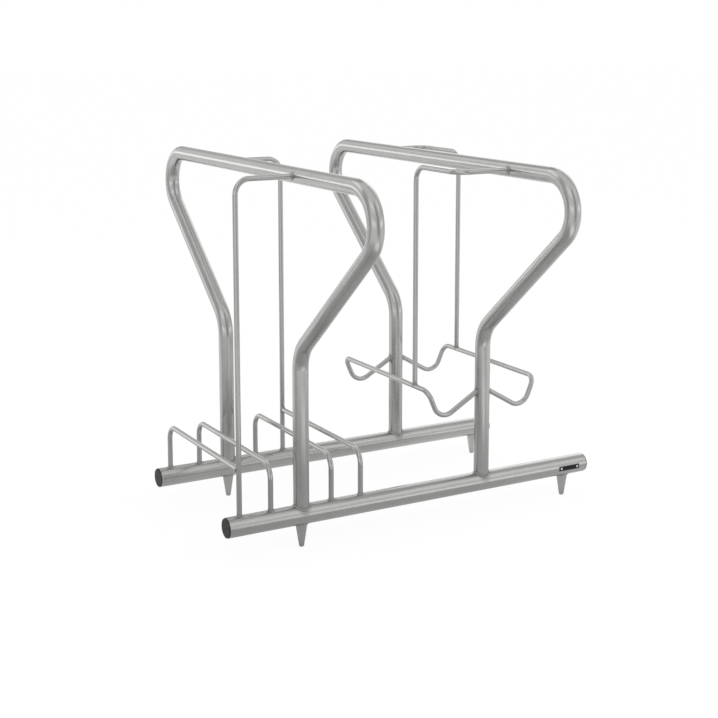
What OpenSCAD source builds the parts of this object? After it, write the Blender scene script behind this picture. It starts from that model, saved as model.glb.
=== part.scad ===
// Two tier bike rack, welded from tube and round rod. Two rails on four feet carry a low and a high
// bent hoop. Wires between the rails hold a wheel on each side of the low hoop, and a cradle holds
// one on each side of the high hoop. Millimetres. +Z is up and z = 0 is the ground. X runs along
// the rails and the origin is midway along the front one. -Y is the front, the side with the plate.

/* [Rails] */
// length of the front rail, without its end caps
rail_length = 1026; // [960:2:1200]
// how much sooner the rear rail ends at the right
rear_rail_shortfall = 18; // [0:0.5:24]
// outside diameter of the rail tube
rail_diameter = 48.3; // [45:0.1:60.3]
// wall thickness of the rail tube
rail_wall = 2.9; // [2:0.1:4]
// distance between the axes of the two rails
rail_spacing = 424; // [390:2:480]
// height of the underside of the rails above the ground
foot_height = 55.5; // [45:0.5:80]

/* [Hoops] */
// outside diameter of the hoop tube
hoop_diameter = 38.1; // [33.7:0.1:42.4]
// wall thickness of the hoop tube
hoop_wall = 2.6; // [2:0.1:4]
// overall height of the rack, to the top of the hoops
hoop_height = 903.5; // [860:0.5:960]
// distance from the left end of the rails to the low hoop
hoop_inset = 193; // [190:1:210]
// distance between the low hoop and the high hoop
hoop_pitch = 513; // [480:1:560]
// height at which the legs lean outward, measured where the straight runs would meet
knee_height = 472; // [440:1:500]
// angle of the leaning legs above the horizontal
flare_angle = 40.2244; // [38:0.0001:48]
// radius of the knee bends at the tube axis
knee_bend = 87; // [70:1:110]
// radius of the top bends at the tube axis
top_bend = 80; // [60:1:90]

/* [Rods and wires] */
// diameter of the guide rods, wheel wires and cradles
rod_diameter = 12.7; // [10:0.1:14]
// radius of the bends in the rods at the rod axis
rod_bend = 35; // [25:1:38]
// distance from a hoop to its guide rods and outer wires
guide_offset = 160.5; // [150:0.5:170]

/* [Low holder] */
// distance from the low hoop to the inner wheel wires
inner_offset = 80.25; // [70:0.25:90]
// height of the top of the wheel wires above the ground
wire_height = 219.5; // [200:0.5:260]

/* [High holder] */
// height of the top of the cradle's long side above the ground
cradle_height = 339.5; // [320:0.5:370]
// height at which the straight runs of the dip would meet
dip_height = 252; // [240:1:265]
// how far the steep side of a dip leans from the vertical
dip_lean = 23.0637; // [20:0.0001:27]
// angle of the bend at the bottom of a dip
dip_angle = 97.2418; // [94:0.0001:102]
// radius of the cradle's corners at the rod axis
cradle_bend = 25; // [20:1:28]
// distance of the high guide rods from the middle of the rack, across it
high_rod_offset = 149.5; // [130:0.5:165]
// distance from the middle of the rack to where the high guide rods meet the top of the hoop
high_rod_reach = 332.5; // [310:0.5:350]

/* [Feet] */
// distance from the right end of the front rail to the right feet
foot_inset = 62.5; // [50:0.5:80]
// diameter of a foot where it meets the rail
foot_top_diameter = 28.5; // [24:0.5:32]
// diameter of a foot just above its rounded tip
foot_tip_diameter = 13; // [12:0.5:16]
// radius of the rounding round the tip
foot_tip_round = 5; // [2:0.1:5.5]

/* [End caps] */
// thickness of the cap's disc outside the rail
cap_thickness = 3; // [2:0.1:5]
// bare rim of the rail that is left around the cap's disc
cap_margin = 0.8; // [0.4:0.1:1.5]
// radius of the rounding on the cap's rim
cap_round = 1.2; // [0.6:0.1:1.8]
// length of the cap's plug inside the rail
cap_plug_length = 20; // [15:1:30]
// wall of the cap's plug
cap_plug_wall = 2; // [1.5:0.1:3]
// clearance between the plug and the rail, which the fins close
cap_clearance = 0.9; // [0.5:0.1:1.2]
// number of fins round the plug
cap_fins = 4; // [2:1:5]
// thickness of a fin
cap_fin = 1.6; // [1:0.1:2.2]

/* [Plate] */
// length of the blank plate
plate_length = 64; // [50:1:80]
// height of the blank plate
plate_height = 12.7; // [10:0.1:16]
// thickness of the blank plate
plate_thickness = 1.2; // [0.8:0.1:2]
// distance from the right end of the front rail to the middle of the plate
plate_inset = 56.5; // [45:0.5:70]
// distance between the two rivets
rivet_pitch = 50.5; // [40:0.5:54]
// diameter of the rivet shank
rivet_diameter = 3.2; // [2.4:0.1:4]
// diameter of the rivet head
rivet_head = 6.4; // [5:0.1:7]
// height of the rivet head
rivet_head_height = 1.4; // [1:0.1:2]

/* [Welds] */
// width of the weld beads round the tubes
tube_bead = 3.2; // [2:0.1:4]
// width of the weld beads round the rods
rod_bead = 2.4; // [1.5:0.1:3]
// width of the weld beads round the feet
foot_bead = 4.5; // [2:0.1:6]

/* [Hidden] */
$fn = 96;
// one overrun serves every cut
over = 10;
quarter = 90;
straight = 180;
// how far a rod that ends on a rod wraps it, as a share of the other rod's radius
seat_share = 0.6;
// the blind side of a rivet, as shares of its shank
blind_width_share = 1.4;
blind_length_share = 0.6;

rail_bore = rail_diameter - 2 * rail_wall;
rail_y = rail_spacing / 2;
rail_z = foot_height + rail_diameter / 2;
rail_end = rail_length / 2;
low_x = hoop_inset - rail_end;
high_x = low_x + hoop_pitch;
top_z = hoop_height - hoop_diameter / 2;
// where the leaning leg and the top of the hoop would meet
corner_y = rail_y + (top_z - knee_height) / tan(flare_angle);
wire_z = wire_height - rod_diameter / 2;
cradle_z = cradle_height - rod_diameter / 2;
foot_x = [low_x, rail_end - foot_inset];
plate_x = rail_end - plate_inset;
seat = seat_share * rod_diameter / 2;

steel = [0.62, 0.62, 0.61];
bead_steel = [0.5, 0.5, 0.49];
black = [0.16, 0.16, 0.16];

// a round bar from one point to another
module run(a, b, d) {
    v = b - a;
    translate(a)
        rotate([0, acos(v[2] / norm(v)), atan2(v[1], v[0])])
            cylinder(h = norm(v), d = d);
}

module ring(d, wall) {
    difference() {
        circle(d = d);
        if (wall > 0) circle(d = d - 2 * wall);
    }
}

// what a bend takes from the run before it and the run after it
function bend_cut(step) = step[3] * tan(step[2] / 2);

// A bend that starts at the origin, heading along +Z, and turns towards +X. It is a ring cut by
// the end planes of its two runs, so that it meets both exactly.
module bend(angle, r, d, wall) {
    size = r + d;
    translate([r, 0, 0])
        difference() {
            rotate([quarter, 0, 0])
                rotate_extrude()
                    translate([r, 0])
                        ring(d, wall);
            translate([-size, -size, -size]) cube([2 * size, 2 * size, size]);
            rotate([0, angle, 0])
                translate([-size, -size, 0]) cube([2 * size, 2 * size, size]);
        }
}

// A bar or tube (wall > 0) that starts at the origin and heads along +Z. Each step is
// [distance to the next corner, roll about the run, angle of the bend, radius of the bend],
// and the last step has only the distance to the end.
module bent(steps, d, wall = 0, i = 0, used = 0) {
    step = steps[i];
    cut = len(step) > 1 ? bend_cut(step) : 0;
    length = step[0] - used - cut;
    linear_extrude(length)
        ring(d, wall);
    if (len(step) > 1)
        translate([0, 0, length])
            rotate([0, 0, step[1]]) {
                bend(step[2], step[3], d, wall);
                translate([step[3], 0, 0])
                    rotate([0, step[2], 0])
                        translate([-step[3], 0, 0])
                            bent(steps, d, wall, i + 1, cut);
            }
}

// heads a piece towards -Y or towards +X, with a first bend that has no roll turning down
module head_front() { rotate([quarter, 0, 0]) rotate([0, 0, -quarter]) children(); }
module head_right() { rotate([0, quarter, 0]) children(); }

// what stands right of a hoop and to the rear is turned half round for the left and the front
module round_hoop(x, side) {
    translate([x, 0, 0])
        rotate([0, 0, side > 0 ? 0 : straight])
            children();
}

// both halves of a piece that is the same at the front and the rear
module both_halves() {
    children();
    mirror([0, 1, 0]) children();
}

// the rail's outside as a solid, longer than the rail, to cut saddles
module rail_body(y, grow = 0) {
    run([-rail_end - over, y, rail_z], [rail_end + over, y, rail_z], rail_diameter + 2 * grow);
}

// the straight top of a hoop as a solid, to cut the ends of rods
module hoop_top_body(x) {
    run([x, -high_rod_reach - over, top_z], [x, high_rod_reach + over, top_z], hoop_diameter);
}

// A weld bead where a round piece that heads along +Z, or is tilted from it towards +X, starts on
// the axis of a round bar along X. It starts at the distance from.
module bead(d, bar_d, width, from = 0, tilt = 0) {
    reach = bar_d / 2 + 2 * width + over;
    half_bar = d + width + over;
    difference() {
        intersection() {
            rotate([0, tilt, 0])
                translate([0, 0, from])
                    cylinder(h = reach, d = d + 2 * width);
            rotate([0, quarter, 0])
                cylinder(h = 2 * half_bar, d = bar_d + 2 * width, center = true);
        }
        rotate([0, tilt, 0]) cylinder(h = 2 * reach, d = d);
        rotate([0, quarter, 0]) cylinder(h = 3 * half_bar, d = bar_d, center = true);
    }
}

// where a rail ends at the right
function right_end(y) = y > 0 ? rail_end - rear_rail_shortfall : rail_end;

module rail(y) {
    translate([-rail_end, y, rail_z])
        rotate([0, quarter, 0])
            linear_extrude(rail_end + right_end(y))
                ring(rail_diameter, rail_wall);
}

module front_rail() {
    color(steel) difference() {
        rail(-rail_y);
        rivet_holes();
    }
}

module rear_rail() {
    color(steel) rail(rail_y);
}

// a finned plug with a rounded disc, turned round X; side is -1 at the left end and 1 at the right
module end_cap(side, y) {
    disc_r = rail_diameter / 2 - cap_margin;
    plug_r = rail_bore / 2 - cap_clearance;
    fin_step = (cap_plug_length - cap_fin) / cap_fins;
    color(black)
        translate([side > 0 ? right_end(y) : -rail_end, y, rail_z])
            rotate([0, side * quarter, 0])
                rotate_extrude() {
                    square([disc_r - cap_round, cap_thickness]);
                    square([disc_r, cap_thickness - cap_round]);
                    translate([disc_r - cap_round, cap_thickness - cap_round])
                        intersection() {
                            circle(r = cap_round);
                            square(cap_round);
                        }
                    translate([plug_r - cap_plug_wall, -cap_plug_length])
                        square([cap_plug_wall, cap_plug_length]);
                    for (i = [1 : cap_fins])
                        translate([plug_r - cap_plug_wall, -i * fin_step - cap_fin])
                            square([rail_bore / 2 - plug_r + cap_plug_wall, cap_fin]);
                }
}

module front_left_end_cap() { end_cap(-1, -rail_y); }
module front_right_end_cap() { end_cap(1, -rail_y); }
module rear_left_end_cap() { end_cap(-1, rail_y); }
module rear_right_end_cap() { end_cap(1, rail_y); }

// a tapered peg with a rounded tip and a flat end, cut to a saddle under the rail
module foot(x, y) {
    lean = atan((foot_top_diameter - foot_tip_diameter) / 2 / foot_height);
    color(steel) difference() {
        translate([x, y, 0])
            rotate_extrude() {
                polygon([[0, foot_tip_round],
                         [foot_tip_diameter / 2, foot_tip_round],
                         [foot_top_diameter / 2, foot_height],
                         [foot_top_diameter / 2, rail_z],
                         [0, rail_z]]);
                square([foot_tip_diameter / 2 - foot_tip_round, foot_tip_round]);
                translate([foot_tip_diameter / 2 - foot_tip_round, foot_tip_round])
                    intersection() {
                        circle(r = foot_tip_round);
                        translate([0, -foot_tip_round]) square(foot_tip_round);
                    }
            }
        rail_body(y);
    }
}

module front_left_foot() { foot(foot_x[0], -rail_y); }
module front_right_foot() { foot(foot_x[1], -rail_y); }
module rear_left_foot() { foot(foot_x[0], rail_y); }
module rear_right_foot() { foot(foot_x[1], rail_y); }

module hoop(x) {
    color(steel) difference() {
        both_halves()
            translate([x, 0, top_z])
                head_front()
                    bent([[corner_y, 0, straight - flare_angle, top_bend],
                          [(top_z - knee_height) / sin(flare_angle),
                           straight, quarter - flare_angle, knee_bend],
                          [knee_height - rail_z]],
                         hoop_diameter, hoop_wall);
        rail_body(-rail_y);
        rail_body(rail_y);
    }
}

module low_hoop() { hoop(low_x); }
module high_hoop() { hoop(high_x); }

// From the side of the low hoop's top outward and down to the rail. In both holders side is -1 for
// the front and left and 1 for the rear and right.
module low_guide_rod(side) {
    color(steel) round_hoop(low_x, side) difference() {
        translate([0, rail_y, top_z])
            head_right()
                bent([[guide_offset, 0, quarter, rod_bend], [top_z - rail_z]], rod_diameter);
        rail_body(rail_y);
        hoop_top_body(0);
    }
}

module low_front_guide_rod() { low_guide_rod(-1); }
module low_rear_guide_rod() { low_guide_rod(1); }

// from the guide rod across the rack and down to the other rail
module outer_wheel_wire(side) {
    color(steel) round_hoop(low_x, side) difference() {
        translate([guide_offset, rail_y - seat, wire_z])
            head_front()
                bent([[rail_spacing - seat, 0, quarter, rod_bend], [wire_z - rail_z]], rod_diameter);
        run([guide_offset, rail_y, rail_z], [guide_offset, rail_y, top_z], rod_diameter);
        rail_body(-rail_y);
    }
}

module left_outer_wheel_wire() { outer_wheel_wire(-1); }
module right_outer_wheel_wire() { outer_wheel_wire(1); }

// from rail to rail
module inner_wheel_wire(side) {
    color(steel) difference() {
        both_halves()
            translate([low_x + side * inner_offset, 0, wire_z])
                head_front()
                    bent([[rail_y, 0, quarter, rod_bend], [wire_z - rail_z]], rod_diameter);
        rail_body(-rail_y);
        rail_body(rail_y);
    }
}

module left_inner_wheel_wire() { inner_wheel_wire(-1); }
module right_inner_wheel_wire() { inner_wheel_wire(1); }

// the steep side of a dip runs in and down, and the other side rises gently to the leg
dip_fall = (cradle_z - dip_height) / cos(dip_lean);
dip_offset = guide_offset - dip_fall * sin(dip_lean);
dip_slope = dip_angle + dip_lean - quarter;
// height at which the cradle rods would meet the axis of the hoop leg
cradle_root_height = dip_height + dip_offset * tan(dip_slope);

// one rod, bent in both planes, from the front leg through both dips to the rear leg
module wheel_cradle(side) {
    color(steel) round_hoop(high_x, side) difference() {
        both_halves()
            translate([guide_offset, 0, cradle_z])
                head_front()
                    bent([[rail_y, -dip_lean, quarter, cradle_bend],
                          [dip_fall, -quarter, dip_angle, rod_bend],
                          [dip_offset / cos(dip_slope)]],
                         rod_diameter);
        for (y = [-rail_y, rail_y])
            run([0, y, rail_z], [0, y, cradle_z + over], hoop_diameter);
    }
}

module left_wheel_cradle() { wheel_cradle(-1); }
module right_wheel_cradle() { wheel_cradle(1); }

// from the side of the hoop's top outward, along towards the middle and down to the cradle
module high_guide_rod(side) {
    color(steel) round_hoop(high_x, side) difference() {
        translate([0, high_rod_reach, top_z])
            head_right()
                bent([[guide_offset, -quarter, quarter, rod_bend],
                      [high_rod_reach - high_rod_offset, quarter, quarter, rod_bend],
                      [top_z - cradle_z - seat]],
                     rod_diameter);
        run([guide_offset, high_rod_offset - rod_diameter, cradle_z],
            [guide_offset, high_rod_offset + rod_diameter, cradle_z], rod_diameter);
        hoop_top_body(0);
    }
}

module high_front_guide_rod() { high_guide_rod(-1); }
module high_rear_guide_rod() { high_guide_rod(1); }

rivet_x = [plate_x - rivet_pitch / 2, plate_x + rivet_pitch / 2];

module rivet_holes() {
    for (x = rivet_x)
        run([x, -rail_y - rail_diameter / 2 - over, rail_z],
            [x, -rail_y - rail_bore / 4, rail_z], rivet_diameter);
}

// a blank band, curved to the front of the rail
module blank_plate() {
    color(black) difference() {
        intersection() {
            run([plate_x - plate_length / 2, -rail_y, rail_z],
                [plate_x + plate_length / 2, -rail_y, rail_z],
                rail_diameter + 2 * plate_thickness);
            translate([plate_x - plate_length, -rail_y - rail_diameter, rail_z - plate_height / 2])
                cube([2 * plate_length, rail_diameter, plate_height]);
        }
        rail_body(-rail_y);
        rivet_holes();
    }
}

// a domed head outside, a shank through the plate and the rail's wall, and the set end inside
module plate_rivets() {
    face = rail_diameter / 2 + plate_thickness;
    shank = face - rail_bore / 2;
    blind = blind_length_share * rivet_diameter;
    // the head is a slice of a ball
    ball = (rivet_head * rivet_head / 4 + rivet_head_height * rivet_head_height)
           / 2 / rivet_head_height;
    for (x = rivet_x)
        color(steel)
            translate([x, -rail_y, rail_z])
                rotate([quarter, 0, 0]) {
                    translate([0, 0, rail_bore / 2 - blind])
                        cylinder(h = shank + blind, d = rivet_diameter);
                    difference() {
                        translate([0, 0, rail_bore / 2 - blind])
                            cylinder(h = blind, d = blind_width_share * rivet_diameter);
                        rotate([-quarter, 0, 0])
                            difference() {
                                run([-over, 0, 0], [over, 0, 0], 2 * rail_diameter);
                                run([-over, 0, 0], [over, 0, 0], rail_bore);
                            }
                    }
                    difference() {
                        intersection() {
                            translate([0, 0, face + rivet_head_height - ball])
                                sphere(r = ball);
                            translate([0, 0, rail_bore / 2])
                                cylinder(h = rail_diameter, d = rivet_head);
                        }
                        rotate([-quarter, 0, 0])
                            run([-over, 0, 0], [over, 0, 0], 2 * face);
                    }
                }
}

module hoop_weld_beads() {
    color(bead_steel)
        for (x = [low_x, high_x], y = [-rail_y, rail_y])
            translate([x, y, rail_z]) bead(hoop_diameter, rail_diameter, tube_bead);
}

module foot_weld_beads() {
    color(bead_steel)
        for (x = foot_x, y = [-rail_y, rail_y])
            translate([x, y, rail_z])
                rotate([straight, 0, 0])
                    bead(foot_top_diameter, rail_diameter, foot_bead);
}

module rod_on_rail_bead(x, y) {
    translate([x, y, rail_z]) bead(rod_diameter, rail_diameter, rod_bead);
}

module wire_weld_beads() {
    color(bead_steel) for (side = [-1, 1]) round_hoop(low_x, side) {
        rod_on_rail_bead(inner_offset, -rail_y);
        rod_on_rail_bead(inner_offset, rail_y);
        rod_on_rail_bead(guide_offset, -rail_y);
        translate([guide_offset, rail_y, wire_z])
            head_front()
                bead(rod_diameter, rod_diameter, rod_bead, seat);
    }
}

// where a guide rod meets the side of a hoop's top
module rod_on_hoop_bead(y) {
    translate([0, y, top_z])
        head_right()
            rotate([0, 0, quarter])
                bead(rod_diameter, hoop_diameter, rod_bead);
}

module guide_rod_weld_beads() {
    color(bead_steel) for (side = [-1, 1]) {
        round_hoop(low_x, side) {
            rod_on_rail_bead(guide_offset, rail_y);
            rod_on_hoop_bead(rail_y);
        }
        round_hoop(high_x, side) {
            translate([guide_offset, high_rod_offset, cradle_z])
                rotate([0, 0, quarter])
                    bead(rod_diameter, rod_diameter, rod_bead, seat);
            rod_on_hoop_bead(high_rod_reach);
        }
    }
}

module cradle_weld_beads() {
    color(bead_steel) for (side = [-1, 1], y = [-rail_y, rail_y])
        round_hoop(high_x, side)
            translate([0, y, cradle_root_height])
                head_right()
                    bead(rod_diameter, hoop_diameter, rod_bead, 0, dip_slope);
}

front_rail();
rear_rail();
front_left_end_cap();
front_right_end_cap();
rear_left_end_cap();
rear_right_end_cap();
front_left_foot();
front_right_foot();
rear_left_foot();
rear_right_foot();
low_hoop();
high_hoop();
low_front_guide_rod();
low_rear_guide_rod();
high_front_guide_rod();
high_rear_guide_rod();
left_outer_wheel_wire();
left_inner_wheel_wire();
right_inner_wheel_wire();
right_outer_wheel_wire();
left_wheel_cradle();
right_wheel_cradle();
blank_plate();
plate_rivets();
hoop_weld_beads();
foot_weld_beads();
wire_weld_beads();
guide_rod_weld_beads();
cradle_weld_beads();
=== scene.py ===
"""Two tier bike rack: satin steel tube and rod, black end caps, a blank plate and weld beads.

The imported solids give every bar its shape. This file gives them their finish, lays the weld beads
as a small profile carried round each joint, and sets a pale studio with the camera.
"""

import math

import bpy
import numpy as np
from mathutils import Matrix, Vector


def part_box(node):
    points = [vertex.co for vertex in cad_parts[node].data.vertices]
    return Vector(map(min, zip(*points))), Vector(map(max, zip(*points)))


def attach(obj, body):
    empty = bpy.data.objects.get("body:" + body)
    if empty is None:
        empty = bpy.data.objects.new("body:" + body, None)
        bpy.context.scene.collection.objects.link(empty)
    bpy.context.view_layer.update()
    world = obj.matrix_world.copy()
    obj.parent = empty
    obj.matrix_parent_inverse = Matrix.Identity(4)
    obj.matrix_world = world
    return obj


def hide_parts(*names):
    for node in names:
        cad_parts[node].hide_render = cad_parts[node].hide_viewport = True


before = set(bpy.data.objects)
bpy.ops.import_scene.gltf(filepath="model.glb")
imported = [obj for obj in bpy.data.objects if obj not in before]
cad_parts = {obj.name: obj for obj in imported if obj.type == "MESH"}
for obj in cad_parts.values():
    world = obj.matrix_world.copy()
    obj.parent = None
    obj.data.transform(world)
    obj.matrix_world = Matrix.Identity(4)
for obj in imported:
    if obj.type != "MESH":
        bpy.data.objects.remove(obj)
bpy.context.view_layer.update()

bl_info = {
    "name": "Two tier bike rack",
    "version": (1, 0, 0),
    "blender": (4, 5, 0),
    "location": "View3D > Sidebar > Bike rack",
    "description": "Finishes, welds and studio for a welded two tier bike rack",
    "category": "Object",
}

MM = 0.001
FEET = ("front_left_foot", "front_right_foot", "rear_left_foot", "rear_right_foot")


def middle(node):
    """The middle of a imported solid's box."""
    low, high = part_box(node)
    return (np.array(low) + np.array(high)) / 2


def extent(node):
    """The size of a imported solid's box along each axis."""
    low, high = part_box(node)
    return np.array(high) - np.array(low)


# the lines that everything is welded to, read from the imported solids
RAIL_Y = float(middle("rear_rail")[1])
RAIL_Z = float(middle("rear_rail")[2])
RAIL_R = float(extent("rear_rail")[2]) / 2
LOW_X = float(middle("low_hoop")[0])
HIGH_X = float(middle("high_hoop")[0])
HOOP_R = float(extent("low_hoop")[0]) / 2
TOP_Z = float(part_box("low_hoop")[1][2]) - HOOP_R
ROD_R = float(extent("left_inner_wheel_wire")[0]) / 2
WIRE_Z = float(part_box("left_inner_wheel_wire")[1][2]) - ROD_R
INNER = LOW_X - float(middle("left_inner_wheel_wire")[0])
GUIDE = LOW_X - float(middle("left_outer_wheel_wire")[0])
CRADLE_Z = float(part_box("left_wheel_cradle")[1][2]) - ROD_R
FOOT_R = float(extent("front_left_foot")[0]) / 2
HIGH_ROD_Y = float(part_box("high_rear_guide_rod")[0][1]) + ROD_R
HIGH_ROD_REACH = float(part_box("high_rear_guide_rod")[1][1]) - ROD_R
# where the cradle meets the axis of a leg, and how it slopes there
ROOT_Z = 325.61 * MM
ROOT_SLOPE = math.radians(30.3055)
# how far from the bar's axis a rod that lands on a rod is cut off
SEAT = 0.6 * ROD_R

X, Y, Z = np.eye(3)

# the camera's sensor in mm, its focal length in widths of the picture, and its clip distances
SENSOR = 36.0
FOCAL = 1395.849 / 718
CLIP = (0.05, 200)


# sizes and colours

class RackSteel(bpy.types.PropertyGroup):
    tone: bpy.props.FloatVectorProperty(
        name="Tone", description="Mean colour of the satin steel", subtype="COLOR",
        size=3, min=0, max=1, default=(0.43, 0.428, 0.421))
    roughness: bpy.props.FloatProperty(
        name="Roughness", description="Mean roughness of the satin steel", subtype="FACTOR",
        min=0.05, max=1, default=0.22)
    grain: bpy.props.FloatProperty(
        name="Grain", description="How strongly the drawn lines show", subtype="FACTOR",
        min=0, max=1, default=0.35)
    cloud: bpy.props.FloatProperty(
        name="Cloud", description="Lighter and darker patches along a tube", subtype="FACTOR",
        min=0, max=1, default=0.12)
    # painted shade: how much darker the steel is painted in the corner beside each weld
    weld_shade: bpy.props.FloatProperty(
        name="Painted_weld_shade", description="How much darker the steel is beside a weld", subtype="FACTOR",
        min=0, max=1, default=0.34)


class RackWelds(bpy.types.PropertyGroup):
    tone: bpy.props.FloatVectorProperty(
        name="Tone", description="Colour of the weld metal", subtype="COLOR",
        size=3, min=0, max=1, default=(0.32, 0.318, 0.312))
    dressed: bpy.props.FloatVectorProperty(
        name="Dressed tone", description="Colour of the beads that are dressed smooth",
        subtype="COLOR", size=3, min=0, max=1, default=(0.35, 0.348, 0.341))
    tube_width: bpy.props.FloatProperty(
        name="Tube bead", description="Leg of the beads round the tubes", subtype="DISTANCE",
        unit="LENGTH", min=0.001, max=0.006, precision=4, default=3.2 * MM)
    rod_width: bpy.props.FloatProperty(
        name="Rod bead", description="Leg of the beads round the rods", subtype="DISTANCE",
        unit="LENGTH", min=0.001, max=0.005, precision=4, default=2.4 * MM)
    foot_width: bpy.props.FloatProperty(
        name="Foot bead", description="Leg of the beads round the feet", subtype="DISTANCE",
        unit="LENGTH", min=0.001, max=0.007, precision=4, default=4.5 * MM)
    pitch: bpy.props.FloatProperty(
        name="Ripple", description="Distance from one ripple of a bead to the next",
        subtype="DISTANCE", unit="LENGTH", min=0.0005, max=0.004, precision=4, default=1.9 * MM)


class RackTrim(bpy.types.PropertyGroup):
    cap: bpy.props.FloatVectorProperty(
        name="Cap", description="Colour of the moulded end caps", subtype="COLOR",
        size=3, min=0, max=1, default=(0.033, 0.033, 0.034))
    plate: bpy.props.FloatVectorProperty(
        name="Plate", description="Colour of the blank plate", subtype="COLOR",
        size=3, min=0, max=1, default=(0.005, 0.005, 0.005))
    rivet: bpy.props.FloatVectorProperty(
        name="Rivet", description="Colour of the rivets", subtype="COLOR",
        size=3, min=0, max=1, default=(0.68, 0.68, 0.67))


class RackStudio(bpy.types.PropertyGroup):
    floor: bpy.props.FloatVectorProperty(
        name="Floor", description="Colour of the floor", subtype="COLOR",
        size=3, min=0, max=1, default=(0.97, 0.97, 0.97))
    eye: bpy.props.FloatVectorProperty(
        name="Camera", description="Where the camera stands", subtype="XYZ", unit="LENGTH",
        size=3, default=(-1.75761, -3.04124, 1.20713))
    heading: bpy.props.FloatProperty(
        name="Heading", description="How far right of +Y the camera looks", subtype="ANGLE",
        unit="ROTATION", default=math.radians(29.4024))
    pitch: bpy.props.FloatProperty(
        name="Pitch", description="How far down the camera looks", subtype="ANGLE",
        unit="ROTATION", default=math.radians(8.9077))
    lens: bpy.props.FloatProperty(
        name="Lens", description="Focal length for a 36 mm sensor", min=20, max=200,
        default=FOCAL * SENSOR)
    rise: bpy.props.FloatProperty(
        name="Shift", description="Vertical shift of the lens", min=-0.3, max=0.3, default=-0.15)


# shader maths

# the Mix node repeats the names of its sockets for each type, so those for colours go by number
MIX_FACTOR, MIX_FIRST, MIX_SECOND, MIX_RESULT = 0, 6, 7, 2


class Wire:
    """A shader socket that arithmetic works on: each operator adds its Math node."""

    def __init__(self, shader, socket):
        self.shader = shader
        self.socket = socket

    def math(self, operation, *others):
        return self.shader.node("ShaderNodeMath", {"operation": operation}, [self, *others])

    def __add__(self, other): return self.math("ADD", other)
    def __radd__(self, other): return self.math("ADD", other)
    def __sub__(self, other): return self.math("SUBTRACT", other)
    def __mul__(self, other): return self.math("MULTIPLY", other)
    def __rmul__(self, other): return self.math("MULTIPLY", other)
    def __truediv__(self, other): return self.math("DIVIDE", other)
    def __pow__(self, other): return self.math("POWER", other)

    def __rsub__(self, other):
        return self.shader.node("ShaderNodeMath", {"operation": "SUBTRACT"}, [other, self])

    def least(self, other): return self.math("MINIMUM", other)
    def most(self, other): return self.math("MAXIMUM", other)
    def size(self): return self.math("ABSOLUTE")
    def root(self): return self.math("SQRT")

    def fade(self, start, end):
        """0 at start, 1 at end and smooth between, whichever of the two is larger."""
        if start > end:
            return 1 - self.fade(end, start)
        return self.shader.node("ShaderNodeMapRange", {"interpolation_type": "SMOOTHSTEP"},
                                {"Value": self, "From Min": start, "From Max": end})


class Nodes:
    """The emptied node tree of a material or a world, with one method that adds any node."""

    def __init__(self, owner):
        owner.use_nodes = True
        self.tree = owner.node_tree
        self.tree.nodes.clear()

    def put(self, socket, value):
        """Links a socket to a Wire, or gives it a value."""
        if isinstance(value, Wire):
            self.tree.links.new(value.socket, socket)
        else:
            socket.default_value = value

    def node(self, kind, settings=None, values=None, output=0):
        """Adds a node: its settings first, then the values or links of its sockets."""
        node = self.tree.nodes.new(kind)
        for name, value in (settings or {}).items():
            setattr(node, name, value)
        pairs = enumerate(values) if isinstance(values, (list, tuple)) else (values or {}).items()
        for name, value in pairs:
            self.put(node.inputs[name], value)
        return Wire(self, node.outputs[output])

    def place(self):
        """Object coordinates, in metres."""
        return self.node("ShaderNodeTexCoord", output="Object")

    def axes(self, place):
        """The three coordinates of a place."""
        return [self.node("ShaderNodeSeparateXYZ", None, [place], axis) for axis in "XYZ"]

    def stretched(self, place, scale):
        """A place scaled by its own number on each axis."""
        return self.node("ShaderNodeMapping", None, {"Vector": place, "Scale": scale})

    def noise(self, place, scale, detail, rough):
        """Noise with a mean of 0, from about -0.5 to 0.5."""
        raw = self.node("ShaderNodeTexNoise", {"noise_dimensions": "3D"},
                        {"Vector": place, "Scale": scale, "Detail": detail, "Roughness": rough})
        return raw - 0.5

    def arm(self, place, point):
        """The vector from a point to a place."""
        return self.node("ShaderNodeVectorMath", {"operation": "SUBTRACT"}, [place, tuple(point)])

    def along(self, arm, direction):
        """How far an arm reaches along a unit direction."""
        return self.node("ShaderNodeVectorMath", {"operation": "DOT_PRODUCT"},
                         [arm, tuple(direction)], "Value")

    def off_line(self, arm, direction):
        """How far the end of an arm is from the line through its root along a unit direction."""
        cross = self.node("ShaderNodeVectorMath", {"operation": "CROSS_PRODUCT"},
                          [arm, tuple(direction)])
        return self.node("ShaderNodeVectorMath", {"operation": "LENGTH"}, [cross], "Value")

    def shade(self, colour, amount):
        """colour times a number."""
        grey = self.node("ShaderNodeCombineXYZ", None, [amount, amount, amount])
        return self.node("ShaderNodeVectorMath", {"operation": "MULTIPLY"}, [tuple(colour), grey])

    def blend(self, mask, first, second):
        """first where mask is 0 and second where it is 1."""
        return self.node("ShaderNodeMix", {"data_type": "RGBA"},
                         {MIX_FACTOR: mask, MIX_FIRST: first, MIX_SECOND: second}, MIX_RESULT)

    def bump(self, height, distance, strength):
        """A normal that is tilted by the slope of height, with a height of 1 raised by distance."""
        return self.node("ShaderNodeBump", None,
                         {"Strength": strength, "Distance": distance, "Height": height})


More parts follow.
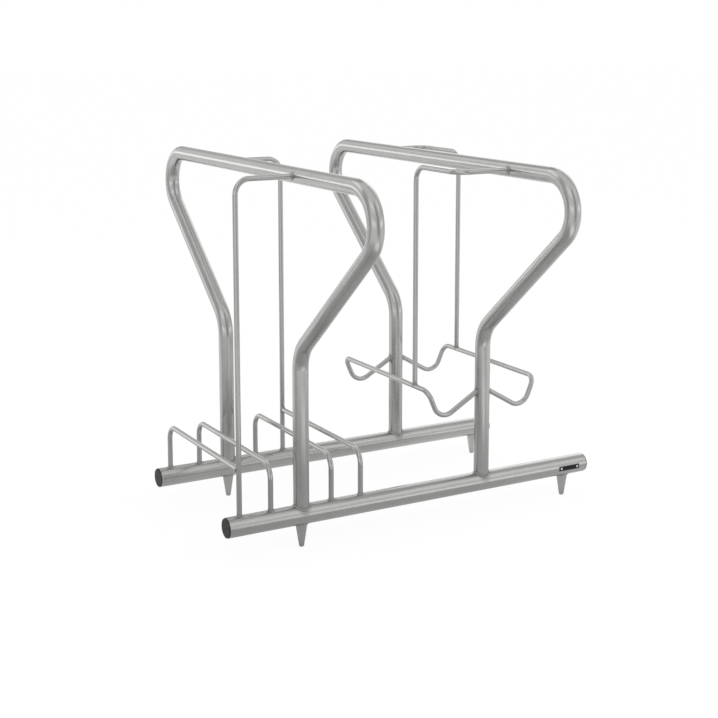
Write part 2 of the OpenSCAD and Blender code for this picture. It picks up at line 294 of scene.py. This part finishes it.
class Shader(Nodes):
    """A new material with its surface shader."""

    def __init__(self, name):
        self.material = bpy.data.materials.new(name)
        super().__init__(self.material)
        self.surface = self.tree.nodes.new("ShaderNodeBsdfPrincipled")
        self.output = self.tree.nodes.new("ShaderNodeOutputMaterial")
        self.tree.links.new(self.surface.outputs["BSDF"], self.output.inputs["Surface"])

    def finish(self, colour, roughness, normal=None, metallic=1.0):
        """Feeds the surface shader and returns the material."""
        self.put(self.surface.inputs["Base Color"], colour)
        self.put(self.surface.inputs["Roughness"], roughness)
        self.put(self.surface.inputs["Metallic"], metallic)
        if normal is not None:
            self.put(self.surface.inputs["Normal"], normal)
        return self.material


# finishes

# how many drawn lines or rubs there are to the metre on each axis
RAIL_LINES = (9.0, 900.0, 900.0)
HOOP_LINES = (900.0, 9.0, 9.0)
SIDEWAYS_LINES = (9.0, 900.0, 9.0)
ROUND_GRAIN = (500.0, 500.0, 500.0)
PLATE_RUBS = (60.0, 60.0, 2500.0)
# brush marks follow the lines, with at least and at most so many to the metre
MARK_SCALES = (45.0, 260.0)
# patterns of noise: how many features there are to the metre of its coordinates, how many octaves
# of finer ones lie over them, and how strong each octave is beside the one before
STREAKS = (1.0, 4.0, 0.6)
MARKS = (1.0, 3.0, 0.6)
SPECKS = (420.0, 2.0, 0.5)
PATCHY = (14.0, 3.0, 0.5)
WELD_SHADE_NOISE = (260.0, 3.0, 0.6)
WELD_CRUST = (1100.0, 3.0, 0.6)
WELD_PATCHES = (160.0, 2.0, 0.5)
CAP_GRAIN = (1500.0, 2.0, 0.5)
CAP_PATCHES = (90.0, 3.0, 0.6)
PLATE_CHIPS = (500.0, 4.0, 0.65)
RIVET_MARKS = (900.0, 3.0, 0.6)
# how much of the steel's grain shows on the smooth rods and on the feet
ROD_GRAIN = 0.3
FOOT_GRAIN = 0.6
# how far the painted shade beside a weld reaches, and how high up a foot the steel gets darker and
# rougher
WELD_SHADE_REACH = 9 * MM
DULL_HEIGHT = 30 * MM
# how far the middle of a joint may lie beyond the box of a piece that it holds
JOINT_REACH = 30 * MM
# the radii of the shallow ring and of the gate mark on a cap's disc
CAP_RING = 0.78 * RAIL_R
CAP_GATE = 1.5 * MM


def satin_steel(name, steel, lines, joints=(), drawn=1.0, low_end=None):
    """Satin steel with fine lines drawn along the bar, and short brush marks and specks over them.

    lines is the scale of the line pattern on each axis: large across the bar and small along it, so
    on a bent bar it is large only on the axis that is square to the bend's plane. Beside each weld
    in joints the steel is painted darker, a painted shade: full at the corner of piece and bar, and
    none at the reach of the painted shade up the piece or out over the bar. drawn is how much of
    the lines, marks and specks shows. low_end is a height below which the steel gets darker and
    rougher down to the ground.
    """
    s = Shader(name)
    place = s.place()
    streaks = s.noise(s.stretched(place, lines), *STREAKS)
    least, most = MARK_SCALES
    brushed = tuple(min(max(scale, least), most) for scale in lines)
    marks = s.noise(s.stretched(place, brushed), *MARKS)
    specks = s.noise(place, *SPECKS)
    cloud = s.noise(place, *PATCHY)
    grain = drawn * (0.5 * streaks + 0.6 * marks + 0.35 * specks)
    tone = 1 + steel.cloud * cloud + steel.grain * grain
    rough = steel.roughness + 0.12 * steel.grain * streaks + 0.1 * drawn * cloud
    near = None
    # each weld gets a ring-shaped mask where shade is painted into the steel's colour
    for origin, along, bar, piece_r, bar_r, *_ in joints:
        along = np.array(along, float) / np.linalg.norm(along)
        arm = s.arm(place, origin)
        ring = ((s.off_line(arm, along) - piece_r).fade(WELD_SHADE_REACH, 1 * MM)
                * (s.off_line(arm, bar) - bar_r).fade(WELD_SHADE_REACH, 1 * MM)
                * s.along(arm, along).fade(0.0, 4 * MM))
        near = ring if near is None else near.most(ring)
    # painted shade: the steel is darker and rougher in the corner beside each weld
    if near is not None:
        weld_shade_mask = near * (0.75 + 0.9 * s.noise(place, *WELD_SHADE_NOISE))
        tone = tone * (1 - steel.weld_shade * weld_shade_mask)
        rough = rough + 0.14 * weld_shade_mask
    # the steel gets darker and rougher towards the ground
    if low_end is not None:
        dull = s.axes(place)[2].fade(low_end, 0.0)
        tone = tone * (1 - 0.15 * dull)
        rough = rough + 0.1 * dull
    height = drawn * (streaks + 0.5 * marks + 0.8 * specks)
    return s.finish(s.shade(steel.tone, tone), rough, s.bump(height, 0.02 * MM, 0.35))


def weld_metal(name, tone):
    """Dull metal with a fine crust and darker patches."""
    s = Shader(name)
    place = s.place()
    crust = s.noise(place, *WELD_CRUST)
    cloud = s.noise(place, *WELD_PATCHES)
    shade = 1 + 0.5 * crust + 1.3 * cloud
    return s.finish(s.shade(tone, shade), 0.4 + 0.2 * crust, s.bump(crust, 0.06 * MM, 0.5))


def moulded_cap(name, trim, axis_y):
    """Matt black plastic with a fine moulded grain, and a shallow ring and a gate mark on its disc,
    both recessed and with painted shade in them.
    """
    s = Shader(name)
    place = s.place()
    x, y, z = s.axes(place)
    radius = ((y - axis_y) ** 2.0 + (z - RAIL_Z) ** 2.0).root()
    grain = s.noise(place, *CAP_GRAIN)
    cloud = s.noise(place, *CAP_PATCHES)
    ring = (radius - CAP_RING).size().fade(0.9 * MM, 0.2 * MM)
    gate = radius.fade(CAP_GATE + 0.5 * MM, CAP_GATE)
    # the ring groove and the gate dimple are painted darker: painted shade in the recesses
    tone = 1 + 0.4 * grain + 2.2 * cloud - 0.25 * ring - 0.3 * gate
    height = 0.25 * grain - ring - gate
    s.surface.inputs["Specular IOR Level"].default_value = 0.2
    return s.finish(s.shade(trim.cap, tone), 0.55 + 0.15 * grain,
                    s.bump(height, 0.15 * MM, 0.5), metallic=0.0)


def black_plate(name, trim):
    """Smooth black paint on a bare band, worn to metal along its edges, with fine rub marks."""
    s = Shader(name)
    place = s.place()
    x, y, z = s.axes(place)
    (x0, _, z0), (x1, _, z1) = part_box("blank_plate")
    inside = (x - x0).least(x1 - x).least((z - z0).least(z1 - z))
    chips = s.noise(place, *PLATE_CHIPS)
    worn = (inside + 0.9 * MM * chips).fade(0.45 * MM, 0.15 * MM)
    rubs = s.noise(s.stretched(place, PLATE_RUBS), *MARKS)
    colour = s.blend(worn, s.shade(trim.plate, 1 + 0.8 * rubs), (0.25, 0.25, 0.25, 1.0))
    s.surface.inputs["Specular IOR Level"].default_value = 0.25
    return s.finish(colour, 0.34 + 0.15 * rubs, s.bump(rubs - worn, 0.03 * MM, 0.4),
                    metallic=worn)


def rivet_metal(name, trim):
    """Bright soft metal with marks from setting."""
    s = Shader(name)
    place = s.place()
    marks = s.noise(place, *RIVET_MARKS)
    return s.finish(s.shade(trim.rivet, 1 + 0.25 * marks), 0.3 + 0.2 * marks,
                    s.bump(marks, 0.05 * MM, 0.4))


def wear(node, material):
    """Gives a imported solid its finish."""
    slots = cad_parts[node].data.materials
    for i in range(len(slots)):
        slots[i] = material
    if not slots:
        slots.append(material)


# surfaces

def grid_mesh(name, rings, material):
    """One object from closed rings: each is an array (around, profile, 3) that joins up both ways.

    Vertices are taken row by row, and each quad joins a point to the next round the profile and
    the next round the ring. A ring whose signed volume comes out negative is turned over.
    """
    points, faces, start = [], [], 0
    for ring in rings:
        n, m, _ = ring.shape
        at = np.arange(n * m).reshape(n, m)
        quad = np.stack([at, np.roll(at, -1, 0), np.roll(np.roll(at, -1, 0), -1, 1),
                         np.roll(at, -1, 1)], -1).reshape(-1, 4)
        flat = ring.reshape(-1, 3)
        a, b, c, d = (flat[quad[:, k]] - flat.mean(0) for k in range(4))
        volume = (np.einsum("ij,ij->i", a, np.cross(b, c))
                  + np.einsum("ij,ij->i", a, np.cross(c, d))).sum()
        if volume < 0:
            quad = quad[:, ::-1]
        points.append(flat)
        faces.append(quad + start)
        start += n * m
    points, faces = np.concatenate(points), np.concatenate(faces)
    mesh = bpy.data.meshes.new(name)
    mesh.vertices.add(len(points))
    mesh.vertices.foreach_set("co", points.ravel())
    mesh.loops.add(faces.size)
    mesh.loops.foreach_set("vertex_index", faces.ravel())
    mesh.polygons.add(len(faces))
    mesh.polygons.foreach_set("loop_start", np.arange(0, faces.size, 4))
    mesh.polygons.foreach_set("loop_total", np.full(len(faces), 4))
    mesh.polygons.foreach_set("use_smooth", np.ones(len(faces), bool))
    mesh.update(calc_edges=True)
    mesh.validate()
    mesh.materials.append(material)
    obj = bpy.data.objects.new(name, mesh)
    bpy.context.scene.collection.objects.link(obj)
    return obj


# the profile of a bead in parts of its width: half its thickness, half its length, how far its
# middle is from the corner, and what a ripple adds to the first two
RIPPLED = (0.42, 0.78, 0.25, 0.10, 0.03)
DRESSED = (0.36, 1.00, 0.07, 0.0, 0.0)
# how many points a bead has along each ripple, and how many round its profile
RIPPLE_POINTS = 9
PROFILE_POINTS = 14
# how far each bead's ripples are turned from those of the bead before, in radians
PHASE_STEP = 1.7


def unit(vectors):
    """Each row of an array scaled to a length of 1."""
    return vectors / np.linalg.norm(vectors, axis=-1, keepdims=True)


def weld_ring(origin, along, bar, piece_r, bar_r, seat, width, pitch, profile, phase):
    """A bead where a round piece leaves a round bar.

    The piece starts on the bar's axis at origin and heads along; bar is the bar's direction. At the
    angle t round the piece its surface leaves the bar's at the distance s, the larger root of
    |q + s d| = bar_r, where q and d are the parts of the radius and of along that are square to the
    bar, or seat where that is more. The bead is an ellipse carried round that curve, with its long
    axis from the one surface to the other. It swells at each ripple, the ripples curve back at the
    edges, and the width wanders by a tenth on the way round.
    """
    half_thick, half_long, lift, thick_swell, long_swell = profile
    along = unit(along)
    side = unit(bar - bar @ along * along)
    up = np.cross(along, side)
    ripples = int(round(2 * math.pi * (piece_r + width / 3) / pitch))
    t = np.linspace(0, 2 * math.pi, ripples * RIPPLE_POINTS, endpoint=False)[:, None]
    out = np.cos(t) * side + np.sin(t) * up
    q = piece_r * (out - (out @ bar)[:, None] * bar)
    d = along - along @ bar * bar
    a, b, c = d @ d, 2 * q @ d, (q * q).sum(1) - bar_r ** 2
    s = (-b + np.sqrt(np.maximum(b * b - 4 * a * c, 0))) / (2 * a)
    s = np.maximum(s, seat)[:, None]
    corner = origin + piece_r * out + s * along
    off = corner - origin
    off = unit(off - (off @ bar)[:, None] * bar)
    spread = unit(out - (out * off).sum(1, keepdims=True) * off)
    across = unit(along - spread)
    outward = unit(along + spread)
    p = np.linspace(0, 2 * math.pi, PROFILE_POINTS, endpoint=False)[None, :]
    swell = np.abs(np.sin(ripples * t / 2 + phase + 0.7 * np.sin(p) ** 2)) ** 0.7
    uneven = 1 + 0.05 * np.sin(3 * t + phase) + 0.04 * np.sin(7 * t + 2 * phase)
    thick = width * uneven * (half_thick + thick_swell * swell)
    long = width * uneven * (half_long + long_swell * swell)
    return (corner[:, None, :] + lift * width * outward[:, None, :]
            + (thick * np.cos(p))[..., None] * outward[:, None, :]
            + (long * np.sin(p))[..., None] * across[:, None, :])


# Each function below lists joints: the point where the axis of the piece meets the axis of the bar,
# the direction in which the piece leaves, the bar's direction, the two radii, and for a rod on a
# rod the seat.

def hoop_joints():
    """Where the legs of the hoops stand on the rails."""
    return [((x, y, RAIL_Z), Z, X, HOOP_R, RAIL_R) for x in (LOW_X, HIGH_X)
            for y in (-RAIL_Y, RAIL_Y)]


def foot_joints():
    """Where the feet hang from the rails."""
    return [((float(middle(foot)[0]), float(middle(foot)[1]), RAIL_Z), -Z, X, FOOT_R, RAIL_R)
            for foot in FEET]


def wire_joints():
    """Where the wheel wires stand on the rails, and where the outer ones meet a guide rod."""
    joints = []
    for side in (-1, 1):
        for x, y in ((INNER, -RAIL_Y), (INNER, RAIL_Y), (GUIDE, -RAIL_Y)):
            joints.append(((LOW_X + side * x, side * y, RAIL_Z), Z, X, ROD_R, RAIL_R))
        joints.append(((LOW_X + side * GUIDE, side * RAIL_Y, WIRE_Z), -side * Y, Z, ROD_R, ROD_R,
                       SEAT))
    return joints


def guide_rod_joints():
    """Where the guide rods stand on a rail or cradle, and where they meet the tops of the hoops."""
    joints = []
    for side in (-1, 1):
        joints += [
            ((LOW_X + side * GUIDE, side * RAIL_Y, RAIL_Z), Z, X, ROD_R, RAIL_R),
            ((LOW_X, side * RAIL_Y, TOP_Z), side * X, Y, ROD_R, HOOP_R),
            ((HIGH_X, side * HIGH_ROD_REACH, TOP_Z), side * X, Y, ROD_R, HOOP_R),
            ((HIGH_X + side * GUIDE, side * HIGH_ROD_Y, CRADLE_Z), Z, Y, ROD_R, ROD_R, SEAT)]
    return joints


def cradle_joints():
    """Where the cradles meet the legs of the high hoop."""
    slope = math.cos(ROOT_SLOPE) * X - math.sin(ROOT_SLOPE) * Z
    return [((HIGH_X, y, ROOT_Z), slope * (side, 1, 1), Z, ROD_R, HOOP_R)
            for side in (-1, 1) for y in (-RAIL_Y, RAIL_Y)]


def lay_beads(name, node, joints, width, pitch, profile, material):
    """Beads for one packed group of welds, each with its ripples in another place."""
    rings = []
    for i, (origin, along, bar, piece_r, bar_r, *seat) in enumerate(joints):
        rings.append(weld_ring(np.array(origin), np.array(along, float), bar, piece_r, bar_r,
                               seat[0] if seat else 0.0, width, pitch, profile,
                               PHASE_STEP * i))
    piece = grid_mesh(name, rings, material)
    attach(piece, "root")
    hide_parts(node)


def welded_at(node, joints):
    """The joints that touch a node's box, for the painted shade beside them."""
    low, high = (np.array(corner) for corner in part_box(node))
    return [joint for joint in joints
            if np.all(low - JOINT_REACH < joint[0]) and np.all(joint[0] < high + JOINT_REACH)]


# one operator for each group of pieces, and one for the studio

class RACK_OT_rails(bpy.types.Operator):
    """Satin steel on the two rails, with painted shade round everything that is welded to them"""
    bl_idname = "rack.rails"
    bl_label = "Rails"

    def execute(self, context):
        steel = context.scene.rack_steel
        joints = hoop_joints() + foot_joints() + wire_joints() + guide_rod_joints()
        for node in ("front_rail", "rear_rail"):
            marks = [j for j in welded_at(node, joints) if abs(j[0][2] - RAIL_Z) < MM]
            wear(node, satin_steel(node + " steel", steel, RAIL_LINES, marks))
        return {"FINISHED"}


class RACK_OT_hoops(bpy.types.Operator):
    """Satin steel on the two hoops, with its lines following the bends"""
    bl_idname = "rack.hoops"
    bl_label = "Hoops"

    def execute(self, context):
        steel = context.scene.rack_steel
        joints = hoop_joints() + guide_rod_joints() + cradle_joints()
        for node in ("low_hoop", "high_hoop"):
            x = LOW_X if node == "low_hoop" else HIGH_X
            marks = [j for j in welded_at(node, joints) if abs(j[0][0] - x) < MM]
            wear(node, satin_steel(node + " steel", steel, HOOP_LINES, marks))
        return {"FINISHED"}


class RACK_OT_rods(bpy.types.Operator):
    """Satin steel on the guide rods, wheel wires and cradles"""
    bl_idname = "rack.rods"
    bl_label = "Rods and wires"

    def execute(self, context):
        steel = context.scene.rack_steel
        joints = wire_joints() + guide_rod_joints() + cradle_joints()
        lines = {
            "low_front_guide_rod": SIDEWAYS_LINES, "low_rear_guide_rod": SIDEWAYS_LINES,
            "high_front_guide_rod": ROUND_GRAIN, "high_rear_guide_rod": ROUND_GRAIN,
            "left_outer_wheel_wire": HOOP_LINES, "left_inner_wheel_wire": HOOP_LINES,
            "right_inner_wheel_wire": HOOP_LINES, "right_outer_wheel_wire": HOOP_LINES,
            "left_wheel_cradle": ROUND_GRAIN, "right_wheel_cradle": ROUND_GRAIN}
        for node, pattern in lines.items():
            wear(node, satin_steel(node + " steel", steel, pattern, welded_at(node, joints),
                                   drawn=ROD_GRAIN))
        return {"FINISHED"}


class RACK_OT_feet(bpy.types.Operator):
    """Satin steel on the tapered feet, darker and rougher towards the ground"""
    bl_idname = "rack.feet"
    bl_label = "Feet"

    def execute(self, context):
        steel = context.scene.rack_steel
        finish = satin_steel("foot steel", steel, ROUND_GRAIN, drawn=FOOT_GRAIN,
                             low_end=DULL_HEIGHT)
        for node in FEET:
            wear(node, finish)
        return {"FINISHED"}


class RACK_OT_caps(bpy.types.Operator):
    """Matt black plastic on the end caps"""
    bl_idname = "rack.caps"
    bl_label = "End caps"

    def execute(self, context):
        trim = context.scene.rack_trim
        for row, y in (("front", -RAIL_Y), ("rear", RAIL_Y)):
            finish = moulded_cap(row + " cap plastic", trim, y)
            for side in ("left", "right"):
                wear(f"{row}_{side}_end_cap", finish)
        return {"FINISHED"}


class RACK_OT_plate(bpy.types.Operator):
    """Black paint on the blank plate and bright metal on its rivets"""
    bl_idname = "rack.plate"
    bl_label = "Plate and rivets"

    def execute(self, context):
        trim = context.scene.rack_trim
        wear("blank_plate", black_plate("plate paint", trim))
        wear("plate_rivets", rivet_metal("rivet metal", trim))
        return {"FINISHED"}


class RACK_OT_welds(bpy.types.Operator):
    """A bead round every joint, rippled but for the dressed ones at the feet"""
    bl_idname = "rack.welds"
    bl_label = "Weld beads"

    def execute(self, context):
        welds = context.scene.rack_welds
        plain = (welds.pitch, RIPPLED, weld_metal("weld metal", welds.tone))
        dressed = (welds.pitch, DRESSED, weld_metal("dressed weld metal", welds.dressed))
        tube, rod, foot = welds.tube_width, welds.rod_width, welds.foot_width
        lay_beads("hoop_beads", "hoop_weld_beads", hoop_joints(), tube, *plain)
        lay_beads("foot_beads", "foot_weld_beads", foot_joints(), foot, *dressed)
        lay_beads("wire_beads", "wire_weld_beads", wire_joints(), rod, *plain)
        lay_beads("guide_rod_beads", "guide_rod_weld_beads", guide_rod_joints(), rod, *plain)
        lay_beads("cradle_beads", "cradle_weld_beads", cradle_joints(), rod, *plain)
        return {"FINISHED"}


# the lamps: where each stands, where it aims, its width and height, and its power in watts
LAMPS = {
    "key": ((-2.6, -2.4, 3.2), (0, 0, 0.4), 2.6, 2.0, 22),
    "fill": ((1.45, -1.9, 2.05), (0.1, -0.2, 0.1), 2.2, 1.7, 15)}


def lamp(name, place, aim, width, height, power):
    """A soft rectangular lamp at place, turned to aim. The metal shows the walls instead."""
    data = bpy.data.lights.new(name, "AREA")
    data.shape = "RECTANGLE"
    data.size, data.size_y, data.energy = width, height, power
    obj = bpy.data.objects.new(name, data)
    bpy.context.scene.collection.objects.link(obj)
    away = np.array(aim, float) - np.array(place, float)
    flat = math.hypot(away[0], away[1])
    obj.rotation_euler = (math.atan2(flat, -away[2]), 0, math.atan2(-away[0], away[1]))
    obj.location = place
    obj.visible_glossy = False


# the studio's walls, as the steel shows them: the heading of a panel's middle from +Y towards +X,
# half its width and its lower and upper edges above the horizon, all in degrees, and its brightness
WALLS = (
    (-77, 19, -4, 57, 0.63),
    (178, 14, -4, 57, 0.5),
    (-128, 24, -4, 8, 1.58),
    (-140, 22, 12, 27, 0.92),
    (-128, 22, 31, 50, 1.32),
    (-38, 24, -4, 10, 1.36),
    (-29, 12, -4, 8, 2.15),
    (-36, 22, 31, 50, 1.55),
    (2, 12, -4, 7, 1.12),
    (17, 19, 9, 54, 0.66),
    (12, 18, 38, 54, 0.55),
    (42, 17, 10, 24, 1.5),
    (48, 15, 20, 44, 1.42),
    (48, 11, 18, 33, 1.8),
    (99, 12, 10, 48, 0.74),
    (80, 33, 46, 68, 0.7),
    (132, 23, -4, 8, 1.68),
    (140, 22, 11, 26, 0.92),
    (130, 22, 31, 50, 1.23))
# half the width in degrees over which a panel fades out at its edges
WALL_EDGE = 3
# keeps a direction that is straight up from dividing by zero
TINY = 1e-9
# the floor, as the steel shows it, painted as glowing round patches: the dark ones about the rack
# are a painted shadow and the bright ones are painted glow. Each has the middle of a round patch in
# metres, the radii between which it fades out, and its brightness
PAINTED_FLOOR_PATCHES = (
    (0.0, 0.0, 0.75, 1.5, 0.58),
    (-1.4, -0.3, 0.45, 1.0, 0.6),
    (0.6, -1.5, 0.3, 0.75, 0.7),
    (-0.7, -0.1, 0.3, 0.9, 0.55),
    (-0.8, -1.0, 0.2, 0.6, 0.62),
    (-0.3, -0.75, 0.15, 0.45, 0.5),
    (0.8, 0.1, 0.15, 0.8, 0.83),
    (-0.1, 0.05, 0.15, 0.45, 0.66),
    (-0.3, 0.45, 0.2, 0.45, 0.72),
    (0.1, 0.5, 0.25, 0.45, 0.77),
    (0.45, 0.5, 0.2, 0.5, 1.05),
    (1.8, -1.0, 0.4, 1.1, 1.05),
    (-0.88, 0.95, 0.2, 0.5, 1.1),
    (-1.35, 1.45, 0.3, 0.7, 1.2),
    (0.12, -1.27, 0.15, 0.42, 1.55),
    (-0.4, -1.33, 0.1, 0.35, 1.35),
    (-0.75, -0.6, 0.2, 0.55, 0.44))
# the radii between which the floor takes on the dim panels that stand on it
FAR_FLOOR = (1.5, 3.0)
# half the length of the floor's sides in metres
FLOOR_REACH = 40
# how much of the floor's white is shown as it is; the rest of it takes light, and so a shadow
FLOOR_WHITE = 0.9


def seen_directly(s):
    """1 for the camera and for what shows in metal or glass, and 0 for light that bounces."""
    rays = {kind: s.node("ShaderNodeLightPath", output=kind)
            for kind in ("Is Camera Ray", "Is Glossy Ray", "Is Transmission Ray")}
    return rays["Is Camera Ray"].most(rays["Is Glossy Ray"]).most(rays["Is Transmission Ray"])


def panel(x, y, z, heading, half, low, high):
    """1 in a panel of the walls and 0 outside it.

    A direction is in the panel when the cosine of its heading from the panel's middle is more than
    that of half the width, and its height lies between the sines of the edges. Without a z only the
    heading counts.
    """
    turn, half, low, high, edge = (math.radians(v) for v in (heading, half, low, high, WALL_EDGE))
    level = (x * x + y * y + TINY).root()
    facing = (x * math.sin(turn) + y * math.cos(turn)) / level
    inside = facing.fade(math.cos(half + edge), math.cos(half - edge))
    if z is None:
        return inside
    return (inside * z.fade(math.sin(low - edge), math.sin(low + edge))
            * z.fade(math.sin(high + edge), math.sin(high - edge)))


def wall_light(s):
    """How bright the studio's walls are in each direction: white, with bright and dim panels."""
    x, y, z = s.axes(s.node("ShaderNodeTexCoord", output="Generated"))
    light = 1.0
    for *place, brightness in WALLS:
        light = light + panel(x, y, z, *place) * (brightness - light)
    return light


def painted_floor_light(s):
    """How bright the floor is in the steel: painted round patches, darker about the rack as a
    painted shadow and brighter elsewhere as painted glow, and far out the dim panels on it.
    """
    place = s.place()
    x, y, _ = s.axes(place)
    light = 1.0
    far = s.off_line(place, Z).fade(*FAR_FLOOR)
    for heading, half, low, high, brightness in WALLS:
        if brightness < 1 and low < 0:
            dim = panel(x, y, None, heading, half, low, high)
            light = light + far * dim * (brightness - light)
    for x, y, inner, outer, brightness in PAINTED_FLOOR_PATCHES:
        patch = s.off_line(s.arm(place, (x, y, 0)), Z).fade(outer, inner)
        light = light + patch * (brightness - light)
    return light


def in_steel(s, light):
    """A brightness that is 1 to the camera, and the value of light in what the steel shows."""
    return 1 + s.node("ShaderNodeLightPath", output="Is Glossy Ray") * (light - 1)


def lay_floor(scene, colour):
    """A pale floor that is white to the camera but for the rack's shadow."""
    s = Shader("pale floor")
    s.finish((*colour, 1.0), 0.9, metallic=0.0)
    s.surface.inputs["Specular IOR Level"].default_value = 0.0
    # to glossy rays the floor glows with the painted patches: a painted shadow about the rack and
    # painted glow further out
    white = s.node("ShaderNodeEmission", None,
                   {"Color": (1, 1, 1, 1), "Strength": in_steel(s, painted_floor_light(s))})
    mix = s.node("ShaderNodeMixShader", None,
                 [FLOOR_WHITE * seen_directly(s), Wire(s, s.surface.outputs["BSDF"]), white])
    s.tree.links.new(mix.socket, s.output.inputs["Surface"])
    mesh = bpy.data.meshes.new("floor")
    mesh.from_pydata([(x * FLOOR_REACH, y * FLOOR_REACH, 0)
                      for x, y in ((-1, -1), (1, -1), (1, 1), (-1, 1))], [], [(0, 1, 2, 3)])
    mesh.materials.append(s.material)
    floor = bpy.data.objects.new("floor", mesh)
    scene.collection.objects.link(floor)


def surround(scene):
    """A world that lights evenly, is white to the camera and shows its panels in the steel."""
    world = bpy.data.worlds.new("white surroundings")
    s = Nodes(world)
    soft = s.node("ShaderNodeBackground", None, {"Color": (1, 1, 1, 1), "Strength": 1.0})
    seen = s.node("ShaderNodeBackground", None,
                  {"Color": (1, 1, 1, 1), "Strength": in_steel(s, wall_light(s))})
    mix = s.node("ShaderNodeMixShader", None, [seen_directly(s), soft, seen])
    out = s.tree.nodes.new("ShaderNodeOutputWorld")
    s.tree.links.new(mix.socket, out.inputs["Surface"])
    scene.world = world


def stand_camera(scene, studio):
    """The camera, with no depth of field."""
    camera = bpy.data.objects.new("camera", bpy.data.cameras.new("camera"))
    scene.collection.objects.link(camera)
    camera.data.sensor_width = SENSOR
    camera.data.lens = studio.lens
    camera.data.shift_y = studio.rise
    camera.data.clip_start, camera.data.clip_end = CLIP
    camera.location = studio.eye
    camera.rotation_euler = (math.pi / 2 - studio.pitch, 0, -studio.heading)
    scene.camera = camera


class RACK_OT_studio(bpy.types.Operator):
    """Pale floor, white surroundings, soft lamps and the camera"""
    bl_idname = "rack.studio"
    bl_label = "Studio"

    def execute(self, context):
        scene = context.scene
        lay_floor(scene, scene.rack_studio.floor)
        surround(scene)
        for name, values in LAMPS.items():
            lamp(name, *values)
        stand_camera(scene, scene.rack_studio)
        scene.view_settings.view_transform = "Standard"
        return {"FINISHED"}


# the add-on

OPERATORS = (RACK_OT_rails, RACK_OT_hoops, RACK_OT_rods, RACK_OT_feet, RACK_OT_caps,
             RACK_OT_plate, RACK_OT_welds, RACK_OT_studio)
GROUPS = {"rack_steel": RackSteel, "rack_welds": RackWelds, "rack_trim": RackTrim,
          "rack_studio": RackStudio}


class VIEW3D_PT_rack(bpy.types.Panel):
    """Lists the rack's values and the steps that use them"""
    bl_label = "Bike rack"
    bl_space_type = "VIEW_3D"
    bl_region_type = "UI"
    bl_category = "Bike rack"

    def draw(self, context):
        for name, group in GROUPS.items():
            values = getattr(context.scene, name)
            box = self.layout.box()
            for field in group.__annotations__:
                box.prop(values, field)
        for operator in OPERATORS:
            self.layout.operator(operator.bl_idname)


def register():
    for cls in (*GROUPS.values(), *OPERATORS, VIEW3D_PT_rack):
        bpy.utils.register_class(cls)
    for name, group in GROUPS.items():
        setattr(bpy.types.Scene, name, bpy.props.PointerProperty(type=group))


def unregister():
    for name in GROUPS:
        delattr(bpy.types.Scene, name)
    for cls in reversed((*GROUPS.values(), *OPERATORS, VIEW3D_PT_rack)):
        bpy.utils.unregister_class(cls)


def main():
    """Registers the add-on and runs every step."""
    register()
    bpy.ops.rack.rails()
    bpy.ops.rack.hoops()
    bpy.ops.rack.rods()
    bpy.ops.rack.feet()
    bpy.ops.rack.caps()
    bpy.ops.rack.plate()
    bpy.ops.rack.welds()
    bpy.ops.rack.studio()


if __name__ == "__main__":
    main()
